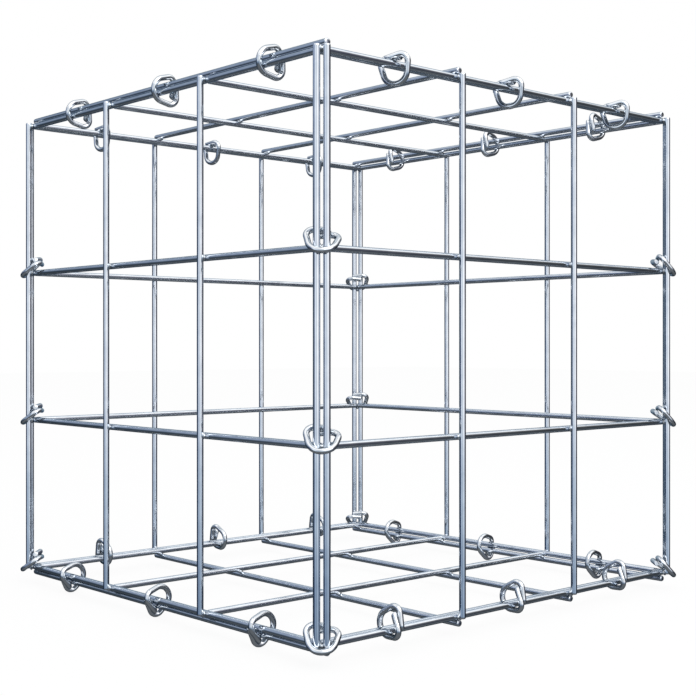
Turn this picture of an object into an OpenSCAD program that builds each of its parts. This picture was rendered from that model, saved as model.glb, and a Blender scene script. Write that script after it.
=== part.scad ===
/* [Basket] */
// Width of the basket, between the axes of the outermost mesh wires
basket_w = 300; // [240:5:450]
// Depth of the basket, front panel to back panel, between the wire axes
basket_d = 300; // [240:5:450]
// Height of the basket, between the lowest and highest side wires
basket_h = 300; // [240:5:450]

/* [Mesh] */
// Diameter of the straight mesh wire
wire_d = 3.8; // [3:0.1:4.2]
// Depth to which crossing wires are pressed into each other at a weld
weld_set = 0.1; // [0.05:0.05:0.3]
// Free end of an upright wire above the top cross wire
stub_top = 2; // [1:0.5:6]
// Free end of an upright wire below the bottom cross wire
stub_bottom = 1; // [0.5:0.5:1]
// Distance from the front or back panel in to the edge wire of lid and bottom
edge_inset = 2.5; // [1:0.1:4]
// Play between two panels, and between a ring and the wires it holds
play = 0.1; // [0.05:0.05:0.25]

/* [Rings] */
// Diameter of the ring wire
ring_wire = 3.3; // [2.6:0.1:3.6]
// Room across a closed ring, beside two and a half mesh wires
ring_room_w = 3.4; // [3.2:0.1:6]
// Room along a closed ring, crown to ends, beside two and a half mesh wires
ring_room_l = 2.4; // [2.2:0.1:5]
// Bending radius of the crown
crown_r = 7; // [6:0.1:7.4]
// Bending radius where a leg turns into its end
corner_r = 4; // [3.5:0.1:4.4]
// Angle by which an end is turned past square towards the crown
end_turn = 8; // [0:1:12]
// Length by which each end passes the middle of the ring
end_lap = 4.2; // [2:0.1:5]
// Shift of all rings along their edge, added to the place of each one
ring_shift = 0; // [-10:1:10]

/* [Hidden] */
$fn = 48;
cells = 3;
zinc = [0.74, 0.77, 0.81];
ring_zinc = [0.68, 0.71, 0.75];
r_w = wire_d / 2;
r_r = ring_wire / 2;
// Half sizes of the box of wire axes
hw = basket_w / 2;
hd = basket_d / 2;
hh = basket_h / 2;
// Distance between the axes of two welded wires
lay = wire_d - weld_set;
// Level of the lid wires above the middle of the basket
lid_x = hh + wire_d + play;
lid_y = lid_x - lay;
// Edge wires of lid and bottom, and the ends of their wires
edge_x = hw - wire_d - play;
edge_y = hd - edge_inset;
end_x = hw + lay - r_w - play;
end_y = hd - r_w - play;

// Width of a ring between its leg axes, and its length from crown axis to end axis
ring_w = 2.5 * wire_d + ring_wire + ring_room_w;
ring_l = 2.5 * wire_d + ring_wire + ring_room_l;
// Ring outline, u across from the crown, v from the crown to the closed ends
cu = ring_w / 2 - corner_r;
cv = ring_l - corner_r;
tan_d = norm([cu, cv - crown_r]);
tan_a = asin((crown_r - corner_r) / tan_d);
leg_a = atan2(cv - crown_r, cu) + tan_a;
leg_l = tan_d * cos(tan_a);
end_a = 180 + end_turn;
end_l = (cu - corner_r * sin(end_turn) + end_lap) / cos(end_turn);
tip_v = cv + corner_r * cos(end_turn) - end_l * sin(end_turn);
// Each half leans out of the plane so that the ends lie side by side
lean = asin((r_r + play / 2) / tip_v);
bend_fine = 0.03;
bend_in = 0.2;
// The middle of the eye of a ring
eye = ring_l * 0.56;
reach = r_w + r_r + play;

function crown_pt(a) = [crown_r * sin(a), crown_r - crown_r * cos(a)];
function corner_pt(a) = [cu + corner_r * sin(a), cv - corner_r * cos(a)];
function half_uv() = concat(
    [for (i = [0:8]) crown_pt(leg_a * i / 8)],
    [for (i = [1:7]) crown_pt(leg_a) + leg_l * i / 8 * [cos(leg_a), sin(leg_a)]],
    [for (i = [0:10]) corner_pt(leg_a + (end_a - leg_a) * i / 10)],
    [for (i = [1:10]) corner_pt(end_a) + end_l * i / 10 * [cos(end_a), sin(end_a)]]);
// Points on the axis of a ring, its eye at the origin
ring_pts = [for (s = [1, -1]) for (p = half_uv())
    [s * p[0], p[1] * cos(lean) - eye, s * p[1] * sin(lean)]];

// Turning of points, in the same order as the turning of a placed ring
function turn_x(p, a) = [p[0], p[1] * cos(a) - p[2] * sin(a), p[1] * sin(a) + p[2] * cos(a)];
function turn_y(p, a) = [p[0] * cos(a) + p[2] * sin(a), p[1], p[2] * cos(a) - p[0] * sin(a)];
function turn_z(p, a) = [p[0] * cos(a) - p[1] * sin(a), p[0] * sin(a) + p[1] * cos(a), p[2]];
function posed(s) = [for (p = ring_pts)
    turn_z(turn_x(turn_y([p[0], p[1], s[3] * p[2]], s[2]), s[0]), s[1])];

// Smallest distance between ring axis and wire axes, each wire from one end to the other
function wire_gap(p, q) = let (d = q[1] - q[0],
    t = max(0, min(1, (p - q[0]) * d / (d * d)))) norm(p - q[0] - t * d);
function least(pts, wires) = min([for (p = pts) for (q = wires) wire_gap(p, q)]);
// Way that a ring can move in one direction before it meets a wire
function way(pts, dir, wires, lo, hi, n) = n == 0 ? lo :
    let (m = (lo + hi) / 2)
    least([for (p = pts) p + m * dir], wires) > reach
        ? way(pts, dir, wires, m, hi, n - 1)
        : way(pts, dir, wires, lo, m, n - 1);
function moved(pts, v) = [for (p = pts) p + v];

// Wires held at an edge, seen along the edge: y inwards, z up from the side panel wire
function edge_wires(side, up) = [
    [[-20, 0, 0], [20, 0, 0]],
    side == "x" ? [[-20, edge_inset, up * (lid_x - hh)], [20, edge_inset, up * (lid_x - hh)]]
                : [[-20, hw - edge_x, up * (lid_y - hh)], [20, hw - edge_x, up * (lid_y - hh)]]];
function middle(wires) = (wires[0][0] + wires[0][1] + wires[1][0] + wires[1][1]) / 4;
// Place of a ring on a level edge, slid until it touches the wires
function edge_place(s, side, up) =
    let (wires = edge_wires(side, up),
        c = middle(wires) + [0, s[5] * cos(s[0] + 90), s[5] * sin(s[0] + 90)],
        dir = [0, cos(s[4]), sin(s[4])])
    c + way(moved(posed(s), c), dir, wires, 0, ring_l, 14) * dir;

// Wires at an upright edge, y inwards on the diagonal: two uprights, two cross wires
up_c = lay / sqrt(2);
eye_in = 1;
uprights = [for (s = [-1, 1]) [[s * up_c, -up_c, -20], [s * up_c, -up_c, 20]]];
crossers = [for (s = [-1, 1]) [[0, 0, 0], [s * 20, 20, 0]]];
function post_place(s) =
    let (c = [0, eye_in - up_c, wire_d],
        a = c + way(moved(posed(s), c), [0, 1, 0], uprights, 0, ring_l, 14) * [0, 1, 0])
    a - way(moved(posed(s), a), [0, 0, -1], crossers, 0, ring_l, 14) * [0, 0, 1];

// Ways in which a ring sits: pitch, yaw, roll, hand, direction of the pull, offset
sit_top_x = [0, 0, -82, 1, 0, 0];
sit_top_right = [84, 26, -90, 1, 270, 0];
sit_top_left = [90, 10, -90, 1, 270, 0];
sit_bottom_x = [212, 0, -90, 1, 32, 0];
sit_bottom_y = [163, 0, -90, 1, 90, 0];
sit_post = [41, 0, 0, -1, 0, 0];

// Height of the basket's middle, so that the lowest rings touch the ground
drop_pts = moved(posed(sit_bottom_x), edge_place(sit_bottom_x, "x", -1));
mid_z = hh - min([for (p = drop_pts) p[2]]) + r_r;

// One straight wire from point p to point q along an axis
module wire_x(x, y, z)
    translate([-x, y, z]) rotate([0, 90, 0]) cylinder(h = 2 * x, r = r_w);
module wire_y(y, x, z)
    translate([x, y, z]) rotate([90, 0, 0]) cylinder(h = 2 * y, r = r_w);

// Side panel facing the front: uprights outside, cross wires inside, ends cut on the mitre
module side_panel(w, d) {
    intersection() {
        union() for (k = [0:cells])
            wire_x(w + wire_d, -d, -hh + k * basket_h / cells);
        translate([0, 0, -hh - wire_d]) linear_extrude(basket_h + 2 * wire_d)
            polygon([[-w - wire_d + play, -d - wire_d], [w + wire_d - play, -d - wire_d],
                [w - wire_d - play, -d + wire_d], [-w + wire_d + play, -d + wire_d]]);
    }
    for (k = [0:cells])
        translate([-w + 2 * w * k / cells, -d - lay, -hh - stub_bottom])
            cylinder(h = basket_h + stub_bottom + stub_top, r = r_w);
}
// Lid, and turned over the bottom: wires across above, wires front to back below
module flat_panel() {
    for (y = [-edge_y, -hd / cells, hd / cells, edge_y]) wire_x(end_x, y, lid_x);
    for (x = [-edge_x, -hw / cells, hw / cells, edge_x]) wire_y(end_y, x, lid_y);
}

module arc(r, from, by)
    rotate([0, 0, from - 90]) rotate_extrude(angle = by) translate([r, 0]) circle(r_r);
// A straight length is a trace finer than the bends and runs a little way into them
module rod(p, a, l)
    translate([p[0], p[1], 0]) rotate([0, 0, a]) rotate([0, 90, 0])
        translate([0, 0, -bend_in]) cylinder(h = l, r = r_r - bend_fine);
module half_ring() {
    translate([0, crown_r, 0]) arc(crown_r, 0, leg_a);
    rod(crown_pt(leg_a), leg_a, leg_l + 2 * bend_in);
    translate([cu, cv, 0]) arc(corner_r, leg_a, end_a - leg_a);
    rod(corner_pt(end_a), end_a, end_l + bend_in);
}
module c_ring() {
    rotate([lean, 0, 0]) half_ring();
    rotate([-lean, 0, 0]) mirror([1, 0, 0]) half_ring();
}
module sat(s, at)
    translate(at) rotate([0, 0, s[1]]) rotate([s[0], 0, 0]) rotate([0, s[2], 0])
        mirror([0, 0, s[3] < 0 ? 1 : 0]) translate([0, -eye, 0]) c_ring();

// Rings on a level edge: turn of the edge, cell number from -1 to 1, shift along the edge
module edge_ring(s, side, up, turn, k, by) {
    a = side == "x" ? hd : hw;
    b = side == "x" ? basket_w : basket_d;
    translate([0, 0, mid_z + up * hh]) rotate([0, 0, turn])
        translate([k * b / cells + by + ring_shift, -a, 0]) sat(s, edge_place(s, side, up));
}
// Rings on an upright edge: signs of the corner, level number from the bottom
module post_ring(s, sx, sy, k)
    translate([sx * hw, sy * hd, mid_z - hh + k * basket_h / cells])
        rotate([0, 0, atan2(-sy, -sx) - 90]) sat(s, post_place(s));

module front_panel() color(zinc) translate([0, 0, mid_z]) side_panel(hw, hd);
module back_panel() color(zinc) translate([0, 0, mid_z]) rotate([0, 0, 180]) side_panel(hw, hd);
module left_panel() color(zinc) translate([0, 0, mid_z]) rotate([0, 0, -90]) side_panel(hd, hw);
module right_panel() color(zinc) translate([0, 0, mid_z]) rotate([0, 0, 90]) side_panel(hd, hw);
module bottom_panel() color(zinc) translate([0, 0, mid_z]) mirror([0, 0, 1]) flat_panel();
module lid_panel() color(zinc) translate([0, 0, mid_z]) flat_panel();
module ring_top_front_1() color(ring_zinc)
    edge_ring(sit_top_x, "x", 1, 0, -1, 4);
module ring_top_front_2() color(ring_zinc)
    edge_ring(sit_top_x, "x", 1, 0, 0, 4);
module ring_top_front_3() color(ring_zinc)
    edge_ring(sit_top_x, "x", 1, 0, 1, 4);
module ring_top_right_1() color(ring_zinc)
    edge_ring(sit_top_right, "y", 1, 90, -1, 3);
module ring_top_right_2() color(ring_zinc)
    edge_ring(sit_top_right, "y", 1, 90, 0, -4);
module ring_top_right_3() color(ring_zinc)
    edge_ring(sit_top_right, "y", 1, 90, 1, 0);
module ring_top_back_1() color(ring_zinc)
    edge_ring(sit_top_x, "x", 1, 180, 1, 0);
module ring_top_back_2() color(ring_zinc)
    edge_ring(sit_top_x, "x", 1, 180, 0, -2);
module ring_top_back_3() color(ring_zinc)
    edge_ring(sit_top_x, "x", 1, 180, -1, 1);
module ring_top_left_1() color(ring_zinc)
    edge_ring(sit_top_left, "y", 1, -90, 1, -2);
module ring_top_left_2() color(ring_zinc)
    edge_ring(sit_top_left, "y", 1, -90, 0, 2);
module ring_top_left_3() color(ring_zinc)
    edge_ring(sit_top_left, "y", 1, -90, -1, 0);
module ring_bottom_front_1() color(ring_zinc)
    edge_ring(sit_bottom_x, "x", -1, 0, -1, -3);
module ring_bottom_front_2() color(ring_zinc)
    edge_ring(sit_bottom_x, "x", -1, 0, 0, -3);
module ring_bottom_front_3() color(ring_zinc)
    edge_ring(sit_bottom_x, "x", -1, 0, 1, -3);
module ring_bottom_right_1() color(ring_zinc)
    edge_ring(sit_bottom_y, "y", -1, 90, -1, 0);
module ring_bottom_right_2() color(ring_zinc)
    edge_ring(sit_bottom_y, "y", -1, 90, 0, 0);
module ring_bottom_right_3() color(ring_zinc)
    edge_ring(sit_bottom_y, "y", -1, 90, 1, 0);
module ring_bottom_back_1() color(ring_zinc)
    edge_ring(sit_bottom_x, "x", -1, 180, 1, 3);
module ring_bottom_back_2() color(ring_zinc)
    edge_ring(sit_bottom_x, "x", -1, 180, 0, 3);
module ring_bottom_back_3() color(ring_zinc)
    edge_ring(sit_bottom_x, "x", -1, 180, -1, 3);
module ring_bottom_left_1() color(ring_zinc)
    edge_ring(sit_bottom_y, "y", -1, -90, 1, -4);
module ring_bottom_left_2() color(ring_zinc)
    edge_ring(sit_bottom_y, "y", -1, -90, 0, -4);
module ring_bottom_left_3() color(ring_zinc)
    edge_ring(sit_bottom_y, "y", -1, -90, -1, -4);
module ring_front_left_1() color(ring_zinc) post_ring(sit_post, -1, -1, 0);
module ring_front_left_2() color(ring_zinc) post_ring(sit_post, -1, -1, 1);
module ring_front_left_3() color(ring_zinc) post_ring(sit_post, -1, -1, 2);
module ring_front_right_1() color(ring_zinc) post_ring(sit_post, 1, -1, 0);
module ring_front_right_2() color(ring_zinc) post_ring(sit_post, 1, -1, 1);
module ring_front_right_3() color(ring_zinc) post_ring(sit_post, 1, -1, 2);
module ring_back_right_1() color(ring_zinc) post_ring(sit_post, 1, 1, 0);
module ring_back_right_2() color(ring_zinc) post_ring(sit_post, 1, 1, 1);
module ring_back_right_3() color(ring_zinc) post_ring(sit_post, 1, 1, 2);
module ring_back_left_1() color(ring_zinc) post_ring(sit_post, -1, 1, 0);
module ring_back_left_2() color(ring_zinc) post_ring(sit_post, -1, 1, 1);
module ring_back_left_3() color(ring_zinc) post_ring(sit_post, -1, 1, 2);

front_panel();
back_panel();
left_panel();
right_panel();
bottom_panel();
lid_panel();
ring_top_front_1();
ring_top_front_2();
ring_top_front_3();
ring_top_right_1();
ring_top_right_2();
ring_top_right_3();
ring_top_back_1();
ring_top_back_2();
ring_top_back_3();
ring_top_left_1();
ring_top_left_2();
ring_top_left_3();
ring_bottom_front_1();
ring_bottom_front_2();
ring_bottom_front_3();
ring_bottom_right_1();
ring_bottom_right_2();
ring_bottom_right_3();
ring_bottom_back_1();
ring_bottom_back_2();
ring_bottom_back_3();
ring_bottom_left_1();
ring_bottom_left_2();
ring_bottom_left_3();
ring_front_left_1();
ring_front_left_2();
ring_front_left_3();
ring_front_right_1();
ring_front_right_2();
ring_front_right_3();
ring_back_right_1();
ring_back_right_2();
ring_back_right_3();
ring_back_left_1();
ring_back_left_2();
ring_back_left_3();
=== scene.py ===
import math
import bpy
import numpy as np
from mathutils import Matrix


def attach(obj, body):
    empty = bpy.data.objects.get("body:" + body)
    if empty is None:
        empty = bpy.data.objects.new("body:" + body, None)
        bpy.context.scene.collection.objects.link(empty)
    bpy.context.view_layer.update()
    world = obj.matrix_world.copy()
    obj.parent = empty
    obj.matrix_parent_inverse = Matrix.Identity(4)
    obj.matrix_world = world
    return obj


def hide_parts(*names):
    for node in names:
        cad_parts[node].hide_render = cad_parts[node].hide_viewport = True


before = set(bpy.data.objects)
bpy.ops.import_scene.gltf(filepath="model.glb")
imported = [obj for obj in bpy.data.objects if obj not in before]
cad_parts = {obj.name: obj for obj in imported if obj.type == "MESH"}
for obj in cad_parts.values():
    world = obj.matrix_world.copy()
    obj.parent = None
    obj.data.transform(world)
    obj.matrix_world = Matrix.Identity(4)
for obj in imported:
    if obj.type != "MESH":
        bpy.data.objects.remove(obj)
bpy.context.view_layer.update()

# ---------------------------------------------------------------- front mesh panel
# A flat mesh of eight straight drawn wires, four upright ones outside and four cross wires
# inside, pressed and spot-welded at their sixteen crossings. The wire is galvanised before
# welding, so it is smooth and bright, with faint drawing lines and cloudy zinc.
WIRE = 0.0019                       # radius of a mesh wire
MID = 0.161383                      # height of the basket's middle above the ground
HALF = 0.150                        # outermost wire axes, from the middle
LAY = 0.0037                        # distance between the axes of two welded wires
PITCH = np.array([-0.150, -0.050, 0.050, 0.150])


def tube(path, side, radius, sides, slant=(0.0, 0.0), wave=0.0, seed=0):
    """Round wire along a path. At path point i and angle a the surface is path + r(i) *
    (cos a * n + sin a * b), where b is the given side direction made square to the tangent and
    n = b x t. Both ends close in a rim of four shrinking circles and a pole, and slant pushes
    an end out by slant * r * cos a, as a cutter's jaw leaves it. wave is the unevenness of r."""
    path = np.asarray(path, float)
    t = np.gradient(path, axis=0)
    t /= np.linalg.norm(t, axis=1)[:, None]
    b = side - (t @ side)[:, None] * t
    b /= np.linalg.norm(b, axis=1)[:, None]
    n = np.cross(b, t)
    length = np.concatenate([[0], np.cumsum(np.linalg.norm(np.diff(path, axis=0), axis=1))])
    rng = np.random.default_rng(seed)
    k, ph = rng.uniform(90, 700, 4), rng.uniform(0, 6.28, 4)
    r = radius * (1 + wave * np.sin(length[:, None] * k + ph).mean(1))
    # rim of each cut end: shrink of the circle, and how far it lies back from the cut
    shrink = np.array([0.0, 0.62, 0.86, 0.97])
    back = np.array([0.0, 0.01, 0.07, 0.22])
    a = np.arange(sides) * 2 * math.pi / sides
    ca, sa = np.cos(a)[:, None], np.sin(a)[:, None]

    def ring(i, f, push, s):
        lean = slant[s] * r[i] * f * ca
        return path[i] + r[i] * f * (ca * n[i] + sa * b[i]) + (push * r[i] + lean) * t[i] * (1, -1)[s]

    inner = path[3:-3, None] + r[3:-3, None, None] * (ca * n[3:-3, None] + sa * b[3:-3, None])
    first = np.stack([ring(0, f, p, 0) for f, p in zip(shrink[1:], back[1:])])
    last = np.stack([ring(-1, f, p, 1) for f, p in zip(shrink[1:], back[1:])])
    rings = np.concatenate([first, inner, last[::-1]])
    m = len(rings)
    v = np.concatenate([rings.reshape(-1, 3), path[:1], path[-1:]])
    i, j = np.meshgrid(np.arange(m - 1), np.arange(sides), indexing="ij")
    j2 = (j + 1) % sides
    quads = np.stack([i * sides + j, i * sides + j2, (i + 1) * sides + j2, (i + 1) * sides + j], -1)
    js = np.arange(sides)
    jn = (js + 1) % sides
    caps = [np.stack([np.full(sides, m * sides), jn, js], -1),
            np.stack([np.full(sides, m * sides + 1), (m - 1) * sides + js, (m - 1) * sides + jn], -1)]
    along = np.concatenate([length[[0, 0, 0]], length[3:-3], length[[-1, -1, -1]]])
    uq = np.stack([along[i], along[i], along[i + 1], along[i + 1]], -1)
    vq = np.stack([j, j + 1, j + 1, j], -1) / sides
    uc = [np.full((sides, 3), along[0]), np.full((sides, 3), along[-1])]
    vc = [np.stack([js + .5, js + 1, js], -1) / sides, np.stack([js + .5, js, js + 1], -1) / sides]
    faces = quads.reshape(-1, 4).tolist() + caps[0].tolist() + caps[1].tolist()
    uv = np.concatenate([np.stack([uq, vq], -1).reshape(-1, 2),
                         *(np.stack([u, w], -1).reshape(-1, 2) for u, w in zip(uc, vc))])
    return v, faces, uv


def finished(name, parts, material, node):
    """One object of several closed shells (points, faces, uv) with smooth faces, its place in its mesh."""
    verts, faces, uvs, base = [], [], [], 0
    for v, f, uv in parts:
        verts.append(v)
        faces += [[q + base for q in face] for face in f]
        uvs.append(uv)
        base += len(v)
    mesh = bpy.data.meshes.new(name)
    mesh.from_pydata(np.concatenate(verts).tolist(), [], faces)
    mesh.uv_layers.new(name="along_wire").data.foreach_set("uv", np.concatenate(uvs).ravel())
    mesh.shade_smooth()
    mesh.materials.append(material)
    piece = bpy.data.objects.new(name, mesh)
    bpy.context.collection.objects.link(piece)
    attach(piece, "root")
    if node:
        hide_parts(node)
    return piece


def zinc(name, pale, deep, smooth, rough, lines, rugged, spangle, tint):
    """Bright galvanised steel: cloudy zinc colour, fine spangle, drawing lines along the wire,
    and a share of rugged grain in place of the lines."""
    mat = bpy.data.materials.new(name)
    mat.use_nodes = True
    nt = mat.node_tree
    link = nt.links.new
    bsdf = nt.nodes["Principled BSDF"]
    bsdf.inputs["Metallic"].default_value = 1.0
    bsdf.inputs["Specular Tint"].default_value = (*tint, 1)
    where = nt.nodes.new("ShaderNodeTexCoord")
    cloud = nt.nodes.new("ShaderNodeTexNoise")
    cloud.inputs["Scale"].default_value = 85
    cloud.inputs["Detail"].default_value = 5
    cloud.inputs["Roughness"].default_value = 0.62
    link(where.outputs["Object"], cloud.inputs["Vector"])
    ramp = nt.nodes.new("ShaderNodeValToRGB")
    ramp.color_ramp.elements[0].position = 0.33
    ramp.color_ramp.elements[0].color = (*deep, 1)
    ramp.color_ramp.elements[1].position = 0.62
    ramp.color_ramp.elements[1].color = (*pale, 1)
    link(cloud.outputs["Fac"], ramp.inputs["Fac"])
    flake = nt.nodes.new("ShaderNodeTexVoronoi")
    flake.inputs["Scale"].default_value = 420
    link(where.outputs["Object"], flake.inputs["Vector"])
    grey = nt.nodes.new("ShaderNodeSeparateColor")
    link(flake.outputs["Color"], grey.inputs["Color"])
    shade = nt.nodes.new("ShaderNodeMapRange")
    shade.inputs["To Min"].default_value = 1 - spangle
    shade.inputs["To Max"].default_value = 1
    link(grey.outputs["Red"], shade.inputs["Value"])
    tone = nt.nodes.new("ShaderNodeMix")
    tone.data_type = "RGBA"
    tone.blend_type = "MULTIPLY"
    tone.inputs["Factor"].default_value = 1
    link(ramp.outputs["Color"], tone.inputs["A"])
    link(shade.outputs["Result"], tone.inputs["B"])
    link(tone.outputs["Result"], bsdf.inputs["Base Color"])
    grain = nt.nodes.new("ShaderNodeTexNoise")
    grain.inputs["Scale"].default_value = 340
    grain.inputs["Detail"].default_value = 3
    link(where.outputs["Object"], grain.inputs["Vector"])
    haze = nt.nodes.new("ShaderNodeMapRange")
    haze.inputs["From Min"].default_value = 0.3
    haze.inputs["From Max"].default_value = 0.7
    haze.inputs["To Min"].default_value = smooth
    haze.inputs["To Max"].default_value = rough
    link(grain.outputs["Fac"], haze.inputs["Value"])
    link(haze.outputs["Result"], bsdf.inputs["Roughness"])
    uv = nt.nodes.new("ShaderNodeUVMap")
    uv.uv_map = "along_wire"
    drawn = nt.nodes.new("ShaderNodeMapping")
    drawn.inputs["Scale"].default_value = (55, 26, 1)
    link(uv.outputs["UV"], drawn.inputs["Vector"])
    streak = nt.nodes.new("ShaderNodeTexNoise")
    streak.inputs["Scale"].default_value = 1
    streak.inputs["Detail"].default_value = 2
    link(drawn.outputs["Vector"], streak.inputs["Vector"])
    both = nt.nodes.new("ShaderNodeMix")
    both.inputs["Factor"].default_value = rugged
    link(streak.outputs["Fac"], both.inputs["A"])
    link(grain.outputs["Fac"], both.inputs["B"])
    bump = nt.nodes.new("ShaderNodeBump")
    bump.inputs["Strength"].default_value = lines
    bump.inputs["Distance"].default_value = 0.00012
    link(both.outputs["Result"], bump.inputs["Height"])
    link(bump.outputs["Normal"], bsdf.inputs["Normal"])
    return mat


mesh_zinc = zinc("mesh_zinc", (0.80, 0.83, 0.87), (0.68, 0.72, 0.78), 0.05, 0.08, 0.12, 0.03, 0.04,
                 (0.16, 0.24, 0.30))


def straight(p, q, side, mitre=(0.0, 0.0), seed=0):
    """Drawn wire from p to q: points p + s (q - p), each a hair off the line by a slow sine,
    nothing at the ends, so that the highlight breathes as on real straightened wire. The
    points crowd at the ends, close behind a square cut and clear of a mitred one."""
    near = np.array([0, 0.33, 0.66, 1, 1.4]) * (0.0095 if max(mitre) > 0.5 else 0.0034)
    s = np.concatenate([near, np.linspace(0.02, 0.98, 52), 1 - near[::-1]])[:, None]
    p, q = np.asarray(p, float), np.asarray(q, float)
    rng = np.random.default_rng(seed)
    off = np.sin(math.pi * s * rng.integers(2, 5)) * rng.uniform(-3e-5, 3e-5, 3)
    return tube(p + s * (q - p) + off * np.sin(math.pi * s), np.asarray(side, float), WIRE, 28,
                mitre, 0.006, seed)


def turned(part, quarter):
    """A shell turned about the upright axis by quarters, and lifted to the basket's middle."""
    c, s = (1, 0, -1, 0)[quarter % 4], (0, 1, 0, -1)[quarter % 4]
    v, f, uv = part
    return v @ np.array([[c, s, 0], [-s, c, 0], [0, 0, 1]]) + (0, 0, MID), f, uv


def weld(p, a, b, seed):
    """Spot weld where the wires along a and b are pressed together at p: a flat cushion of
    squeezed metal, radius 2.1 mm * (1 + lobes) across and 0.95 mm thick, on a 9 x 24 grid of
    latitude and angle, |cos|^0.8 in latitude so that its edge is full."""
    rng = np.random.default_rng(seed)
    lat = np.linspace(-math.pi / 2, math.pi / 2, 9)[1:-1, None]
    ang = np.arange(24)[None] * math.pi / 12
    lobe = 1 + 0.10 * np.cos(4 * ang) + 0.06 * np.sin(ang * 3 + rng.uniform(0, 6)) + 0 * lat
    rad = 0.00205 * np.cos(lat) ** 0.8 * lobe
    c = np.cross(a, b)
    v = (rad * np.cos(ang))[..., None] * a + (rad * np.sin(ang))[..., None] * b
    v = v + (0.00095 * np.sin(lat) + 0 * ang)[..., None] * c
    m = 7
    pts = np.concatenate([v.reshape(-1, 3), [-0.00095 * c, 0.00095 * c]]) + p
    i, j = np.meshgrid(np.arange(m - 1), np.arange(24), indexing="ij")
    j2 = (j + 1) % 24
    quads = np.stack([i * 24 + j, i * 24 + j2, (i + 1) * 24 + j2, (i + 1) * 24 + j], -1).reshape(-1, 4)
    js = np.arange(24)
    low = np.stack([np.full(24, m * 24), (js + 1) % 24, js], -1)
    top = np.stack([np.full(24, m * 24 + 1), (m - 1) * 24 + js, (m - 1) * 24 + (js + 1) % 24], -1)
    faces = quads.tolist() + low.tolist() + top.tolist()
    loops = np.concatenate([quads.ravel(), low.ravel(), top.ravel()])
    return pts, faces, np.stack([pts[loops] @ a, pts[loops] @ b * 80], -1)


weld_zinc = zinc("weld_zinc", (0.84, 0.86, 0.88), (0.50, 0.53, 0.57), 0.16, 0.38, 0.8, 0.6, 0.25,
                 (0.55, 0.60, 0.65))
X, Y, Z = np.eye(3)


def side_panel(name, quarter, seed):
    """Four uprights 3.7 mm outside four cross wires, whose ends are cut on the mitre."""
    wires, welds = [], []
    for k, x in enumerate(PITCH):
        wires.append(turned(straight((x, -HALF - LAY, -0.151), (x, -HALF - LAY, 0.152), Y,
                                     (0.06, -0.05), seed + k), quarter))
    for k, z in enumerate(PITCH):
        wires.append(turned(straight((-0.1498, -HALF, z), (0.1498, -HALF, z), Z,
                                     (1.0, 1.0), seed + 10 + k), quarter))
    for k, x in enumerate(PITCH):
        for m, z in enumerate(PITCH):
            welds.append(turned(weld(np.array([x, -HALF - LAY / 2, z]), X, Z, seed + 4 * k + m),
                                quarter))
    finished(name + "_wires", wires, mesh_zinc, name + "_panel")
    finished(name + "_welds", welds, weld_zinc, None)


side_panel("front", 0, 100)

# ---------------------------------------------------------------- right, back and left mesh panels
# The same welded mesh three times more, each turned by a quarter, so that the uprights of
# neighbours stand side by side at the corners. Only the rings hold them to each other.
side_panel("right", 1, 200)
side_panel("back", 2, 300)
side_panel("left", 3, 400)

# ---------------------------------------------------------------- lid and bottom mesh panels
# Two more meshes of the same wire, a wire narrower, lying between the side panels: four
# wires across outside, four front to back inside. Both are held by the rings alone.
OVER = 0.1539                       # level of the wires across, from the middle
UNDER = 0.1502                      # level of the wires front to back
AROUND = np.array([-0.1475, -0.050, 0.050, 0.1475])
ALONG = np.array([-0.1461, -0.050, 0.050, 0.1461])


def flat_panel(name, up, seed):
    """Wires across at the level OVER, wires front to back at UNDER, on the given side of the middle."""
    wires, welds = [], []
    for k, y in enumerate(AROUND):
        wires.append(straight((-0.1517, y, MID + up * OVER), (0.1517, y, MID + up * OVER), Z,
                              (0.05, -0.06), seed + k))
    for k, x in enumerate(ALONG):
        wires.append(straight((x, -0.148, MID + up * UNDER), (x, 0.148, MID + up * UNDER), Z,
                              (-0.06, 0.05), seed + 10 + k))
    for k, x in enumerate(ALONG):
        for m, y in enumerate(AROUND):
            p = np.array([x, y, MID + up * (OVER + UNDER) / 2])
            welds.append(weld(p, X, Y, seed + 4 * k + m))
    finished(name + "_wires", wires, mesh_zinc, name + "_panel")
    finished(name + "_welds", welds, weld_zinc, None)


flat_panel("lid", 1, 500)
flat_panel("bottom", -1, 600)

# ---------------------------------------------------------------- rings
# C-rings of 3.3 mm galvanised wire, cut at a slant, bent round the wires of two panels and
# pressed shut with a ring gun, so that the two ends pass each other side by side.
RING = 1.65                         # radius of the ring wire, here in mm as all ring sizes
RING_W, RING_L = 16.2, 15.2
CROWN, CORNER = 7.0, 4.0
END_TURN, END_LAP = math.radians(8), 4.2
CU, CV = RING_W / 2 - CORNER, RING_L - CORNER


def half_outline():
    """Points (u, v) from the crown to an end: crown arc of radius 7, straight leg tangent to
    both bends, corner arc of radius 4, and the end turned 8 degrees past square."""
    span = math.hypot(CU, CV - CROWN)
    dip = math.asin((CROWN - CORNER) / span)
    leg = math.atan2(CV - CROWN, CU) + dip
    run = span * math.cos(dip)
    end = math.pi + END_TURN
    tail = (CU - CORNER * math.sin(END_TURN) + END_LAP) / math.cos(END_TURN)
    a = leg * np.linspace(0, 1, 13)[:, None]
    crown = np.hstack([CROWN * np.sin(a), CROWN - CROWN * np.cos(a)])
    s = np.linspace(0, 1, 9)[1:, None]
    side = crown[-1] + run * s * [math.cos(leg), math.sin(leg)]
    a = leg + (end - leg) * np.linspace(0, 1, 17)[1:, None]
    corner = np.hstack([CU + CORNER * np.sin(a), CV - CORNER * np.cos(a)])
    s = np.linspace(0, 1, 13)[1:, None]
    point = corner[-1] + tail * s * [math.cos(end), math.sin(end)]
    return np.concatenate([crown, side, corner, point])


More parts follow.
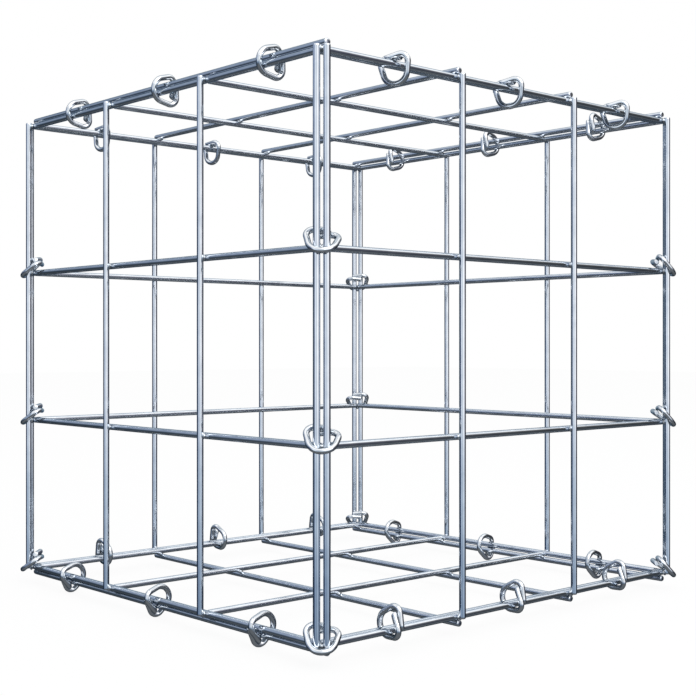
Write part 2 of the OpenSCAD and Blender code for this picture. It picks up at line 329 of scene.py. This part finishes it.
half = half_outline()
tip_v = half[-1, 1]
lean = math.asin((RING + 0.05) / tip_v)
arm = [np.stack([s * half[:, 0], half[:, 1] * math.cos(lean) - 0.56 * RING_L,
                 s * half[:, 1] * math.sin(lean)], -1) for s in (1, -1)]
closed = np.concatenate([arm[1][:0:-1], arm[0]])


def turn(axis, deg):
    """Matrix that turns row vectors about X, Y or Z."""
    c, s = math.cos(math.radians(deg)), math.sin(math.radians(deg))
    return np.array({"x": [[1, 0, 0], [0, c, s], [0, -s, c]],
                     "y": [[c, 0, -s], [0, 1, 0], [s, 0, c]],
                     "z": [[c, s, 0], [-s, c, 0], [0, 0, 1]]}[axis])


ring_zinc = zinc("ring_zinc", (0.82, 0.84, 0.86), (0.66, 0.69, 0.73), 0.07, 0.14, 0.25, 0.15, 0.06,
                 (0.20, 0.27, 0.32))

def posed(sit):
    """Axis of a closed ring and its flat side, mirrored by the hand, then turned by roll,
    pitch and yaw."""
    pitch, yaw, roll, hand = sit[:4]
    m = turn("y", roll) @ turn("x", pitch) @ turn("z", yaw)
    return (closed * (1, 1, hand)) @ m, (Z * (1, 1, hand)) @ m


def way(points, step, wires):
    """How far a ring moves along step before its axis comes within reach of a wire's axis,
    found by halving: 3.65 mm is both radii and 0.1 mm of play."""
    low, high = 0.0, RING_L
    for _ in range(16):
        mid = (low + high) / 2
        gap = min(np.linalg.norm(np.cross(points + mid * step - p, q - p), axis=1).min()
                  / np.linalg.norm(q - p) for p, q in wires)
        low, high = (mid, high) if gap > 3.65 else (low, mid)
    return low


def ring(name, points, side, quarter_deg, shift, seed):
    """One ring: its axis carried to its place, in metres, with a tube of the ring wire on it."""
    m = turn("z", quarter_deg)
    path = ((points + shift[0]) @ m + shift[1]) / 1000
    part = tube(path, side @ m, RING / 1000, 22, (0.5, 0.5), 0.012, seed)
    finished(name, [part], ring_zinc, name)


# Level edges: the wires that a ring holds, seen along the edge, y inwards and z up from the
# side panel's wire, and how the rings hang, slid until they touch.
SITS = {"top_front": (0, 0, -82, 1, 0), "top_back": (0, 0, -82, 1, 0),
        "top_right": (84, 26, -90, 1, 270), "top_left": (90, 10, -90, 1, 270),
        "bottom_front": (212, 0, -90, 1, 32), "bottom_back": (212, 0, -90, 1, 32),
        "bottom_right": (163, 0, -90, 1, 90), "bottom_left": (163, 0, -90, 1, 90)}
SHIFTS = {"top_front": (4, 4, 4), "top_right": (3, -4, 0), "top_back": (0, 2, -1),
          "top_left": (2, -2, 0), "bottom_front": (-3, -3, -3), "bottom_right": (0, 0, 0),
          "bottom_back": (-3, -3, -3), "bottom_left": (4, 4, 4)}
QUARTERS = {"front": 0, "right": 90, "back": 180, "left": -90}
for edge, sit in SITS.items():
    level, face = edge.split("_")
    up = 1 if level == "top" else -1
    held = np.array([2.5, 3.9 * up] if face in ("front", "back") else [3.9, 0.2 * up])
    wires = [(np.array([-20., 0, 0]), np.array([20., 0, 0])),
             (np.array([-20., *held]), np.array([20., *held]))]
    points, side = posed(sit)
    start = np.array([0, *(held / 2)])
    pull = np.array([0, math.cos(math.radians(sit[4])), math.sin(math.radians(sit[4]))])
    seat = start + way(points + start, pull, wires) * pull
    sign = -1 if face in ("back", "left") else 1
    for k in range(3):
        along = sign * (100 * (k - 1) + SHIFTS[edge][k])
        ring(f"ring_{edge}_{k + 1}", points, side, QUARTERS[face],
             (seat + (along, -150, 0), (0, 0, MID * 1000 + up * 150)), 700 + k)

# Upright edges: a ring holds the two uprights of a corner and rests on the two cross wires
# behind them, crown outwards on the diagonal.
points, side = posed((41, 0, 0, -1))
out = 1000 * LAY / math.sqrt(2)
start = np.array([0, 1 - out, 3.8])
uprights = [(np.array([s * out, -out, -20]), np.array([s * out, -out, 20])) for s in (-1, 1)]
seat = start + (0, way(points + start, Y, uprights), 0)
crossers = [(np.zeros(3), np.array([s * 20., 20, 0])) for s in (-1, 1)]
seat = seat - (0, 0, way(points + seat, -Z, crossers))
for corner, sx, sy in (("front_left", -1, -1), ("front_right", 1, -1),
                       ("back_right", 1, 1), ("back_left", -1, 1)):
    for k in range(3):
        ring(f"ring_{corner}_{k + 1}", points, side, math.degrees(math.atan2(-sy, -sx)) - 90,
             (seat, (sx * 150, sy * 150, MID * 1000 - 150 + 100 * k)), 800 + k)

# ---------------------------------------------------------------- ground, light and camera
# A plain pale ground under soft even light from all round, with one large soft lamp high on
# the right. What the wires mirror is a studio with pale and slate-blue cards round it.
VIEW = math.radians(47.823)
right = np.array([math.cos(VIEW), math.sin(VIEW), 0])
into = np.array([-math.sin(VIEW), math.cos(VIEW), 0])


def seen(nt):
    """1 for camera and transmission rays, and 1 for glossy rays, as two sockets."""
    rays = nt.nodes.new("ShaderNodeLightPath")
    cam = nt.nodes.new("ShaderNodeMath")
    cam.operation = "MAXIMUM"
    nt.links.new(rays.outputs["Is Camera Ray"], cam.inputs[0])
    nt.links.new(rays.outputs["Is Transmission Ray"], cam.inputs[1])
    return cam.outputs["Value"], rays.outputs["Is Glossy Ray"]


bpy.ops.mesh.primitive_plane_add(size=12, location=(0, 0, 0))
ground = bpy.context.object
ground.name = "ground"
paint = bpy.data.materials.new("pale_ground")
paint.use_nodes = True
nt = paint.node_tree
nt.nodes.clear()
cam_ray = seen(nt)[0]
matt = nt.nodes.new("ShaderNodeBsdfDiffuse")
matt.inputs["Color"].default_value = (0.86, 0.86, 0.86, 1)
white = nt.nodes.new("ShaderNodeEmission")
white.inputs["Color"].default_value = (1, 1, 1, 1)
white.inputs["Strength"].default_value = 1.0
part_white = nt.nodes.new("ShaderNodeMath")
part_white.operation = "MULTIPLY"
part_white.inputs[1].default_value = 0.92
nt.links.new(cam_ray, part_white.inputs[0])
mix1 = nt.nodes.new("ShaderNodeMixShader")
nt.links.new(part_white.outputs["Value"], mix1.inputs["Fac"])
nt.links.new(matt.outputs["BSDF"], mix1.inputs[1])
nt.links.new(white.outputs["Emission"], mix1.inputs[2])
last = nt.nodes.new("ShaderNodeOutputMaterial")
nt.links.new(mix1.outputs["Shader"], last.inputs["Surface"])
ground.data.materials.append(paint)
ground.visible_glossy = False      # the mirrored studio has its own dark floor

world = bpy.data.worlds.new("studio")
bpy.context.scene.world = world
world.use_nodes = True
world.cycles.sampling_method = "NONE"
nt = world.node_tree
nt.nodes.clear()
cam_ray, gloss_ray = seen(nt)
where = nt.nodes.new("ShaderNodeTexCoord")


def across(way_to):
    """How far a mirrored ray points along way_to."""
    dot = nt.nodes.new("ShaderNodeVectorMath")
    dot.operation = "DOT_PRODUCT"
    dot.inputs[1].default_value = way_to
    nt.links.new(where.outputs["Generated"], dot.inputs[0])
    return dot.outputs["Value"]


def scale(value, low, high):
    """0 to 1 as a value goes from low to high."""
    span = nt.nodes.new("ShaderNodeMapRange")
    span.inputs["From Min"].default_value = low
    span.inputs["From Max"].default_value = high
    nt.links.new(value, span.inputs["Value"])
    return span.outputs["Result"]


def bands(value, stops):
    """Soft bands of colour: (place, colour) in order, eased from each to the next."""
    ramp = nt.nodes.new("ShaderNodeValToRGB")
    ramp.color_ramp.interpolation = "EASE"
    line = ramp.color_ramp.elements
    for k, (place, colour) in enumerate(stops):
        stop = line[k] if k < 2 else line.new(place)
        stop.position = place
        stop.color = (*colour, 1)
    nt.links.new(value, ramp.inputs["Fac"])
    return ramp.outputs["Color"]


def blend(kind, below, above, factor=None):
    """Two colours mixed by a factor, or multiplied."""
    mix = nt.nodes.new("ShaderNodeMix")
    mix.data_type = "RGBA"
    mix.blend_type = kind
    if factor:
        nt.links.new(factor, mix.inputs["Factor"])
    else:
        mix.inputs["Factor"].default_value = 1
    nt.links.new(below, mix.inputs["A"])
    nt.links.new(above, mix.inputs["B"])
    return mix.outputs["Result"]


# degrees to the right of the camera, seen from the basket, -180 to 180
bearing = nt.nodes.new("ShaderNodeMath")
bearing.operation = "ARCTAN2"
nt.links.new(across(right.tolist()), bearing.inputs[0])
nt.links.new(across((-into).tolist()), bearing.inputs[1])
round_it = scale(bearing.outputs["Value"], -math.pi, math.pi)
walls = bands(round_it, [((deg + 180) / 360, colour) for deg, colour in (
    (-180, (0.85, 0.90, 0.95)), (-160, (0.48, 0.55, 0.62)), (-143, (0.05, 0.10, 0.13)),
    (-124, (0.02, 0.045, 0.06)), (-98, (0.10, 0.125, 0.16)), (-78, (0.035, 0.05, 0.10)),
    (-65, (0.09, 0.12, 0.20)), (-55, (0.32, 0.38, 0.50)), (-44, (0.90, 0.96, 1.02)),
    (-14, (0.52, 0.57, 0.63)), (2, (0.66, 0.70, 0.74)), (40, (1.00, 1.01, 1.02)),
    (58, (0.92, 0.92, 0.95)), (68, (0.44, 0.43, 0.47)), (78, (0.11, 0.11, 0.14)),
    (96, (0.065, 0.068, 0.07)), (128, (0.04, 0.04, 0.05)), (146, (0.10, 0.095, 0.12)),
    (162, (0.48, 0.50, 0.55)), (180, (0.85, 0.90, 0.95)))])
height = scale(across((0, 0, 1)), -1, 1)
walls = blend("MULTIPLY", walls, bands(height, [(z / 2 + 0.5, colour) for z, colour in (
    (-0.42, (0.10, 0.12, 0.14)), (-0.26, (0.22, 0.28, 0.36)),
    (-0.20, (0.33, 0.41, 0.51)), (-0.12, (0.60, 0.67, 0.74)), (-0.045, (0.92, 0.93, 0.95)),
    (0.0, (1, 1, 1)))]))
table = bands(round_it, [(0.0, (0.07, 0.08, 0.09)), (0.5, (0.12, 0.13, 0.14)),
                         (1.0, (0.07, 0.08, 0.09))])
walls = blend("MIX", walls, table, scale(across((0, 0, 1)), -0.22, -0.50))
glow = bands(round_it, [(0.0, (0.30, 0.34, 0.42)), (0.30, (0.28, 0.34, 0.46)), (0.46, (0.0, 0.0, 0.0))])
walls = blend("LIGHTEN", walls, glow, scale(across((0, 0, 1)), 0.09, 0.24))
ceiling = bands(round_it, [((deg + 180) / 360, colour) for deg, colour in (
    (-180, (0.66, 0.71, 0.76)), (-100, (0.22, 0.27, 0.36)), (-40, (0.50, 0.55, 0.64)),
    (20, (0.88, 0.90, 0.92)), (100, (1.10, 1.10, 1.10)), (180, (0.66, 0.71, 0.76)))])
over = (0.20 * -into - 0.34 * right + np.array([0, 0, 0.92])).tolist()
ceiling = blend("MIX", ceiling, bands(height, [(0.5, (1, 1, 1)), (1.0, (1, 1, 1))]),
                scale(across(over), 0.72, 0.90))
rise = scale(across((0, 0, 1)), 0.30, 0.64)
studio = blend("MIX", walls, ceiling, rise)
rest = nt.nodes.new("ShaderNodeBackground")
rest.inputs["Color"].default_value = (0.95, 0.95, 0.96, 1)
mirrored = nt.nodes.new("ShaderNodeBackground")
mirrored.inputs["Strength"].default_value = 1.25
nt.links.new(studio, mirrored.inputs["Color"])
back = nt.nodes.new("ShaderNodeBackground")
back.inputs["Color"].default_value = (1, 1, 1, 1)
mix1 = nt.nodes.new("ShaderNodeMixShader")
nt.links.new(gloss_ray, mix1.inputs["Fac"])
nt.links.new(rest.outputs["Background"], mix1.inputs[1])
nt.links.new(mirrored.outputs["Background"], mix1.inputs[2])
mix2 = nt.nodes.new("ShaderNodeMixShader")
nt.links.new(cam_ray, mix2.inputs["Fac"])
nt.links.new(mix1.outputs["Shader"], mix2.inputs[1])
nt.links.new(back.outputs["Background"], mix2.inputs[2])
last = nt.nodes.new("ShaderNodeOutputWorld")
nt.links.new(mix2.outputs["Shader"], last.inputs["Surface"])

key = bpy.data.objects.new("soft_key", bpy.data.lights.new("soft_key", "AREA"))
key.data.size = 1.6
key.data.energy = 22
key.location = (1.6, -0.3, 1.7)
key.rotation_euler = (np.arctan2(math.hypot(1.6, 0.3), 1.5), 0, math.atan2(-0.3, 1.6) + math.pi / 2)
bpy.context.collection.objects.link(key)

camera = bpy.data.objects.new("camera", bpy.data.cameras.new("camera"))
camera.data.sensor_width = 36
camera.data.lens = 36 * 1238.72 / 696
camera.data.shift_y = -3.06 / 696
camera.location = (-0.83502 * into + 0.00259 * right + (0, 0, MID + 0.00105)).tolist()
camera.rotation_euler = (math.pi / 2, 0, VIEW)
bpy.context.collection.objects.link(camera)
bpy.context.scene.camera = camera
bpy.context.scene.view_settings.view_transform = "Standard"
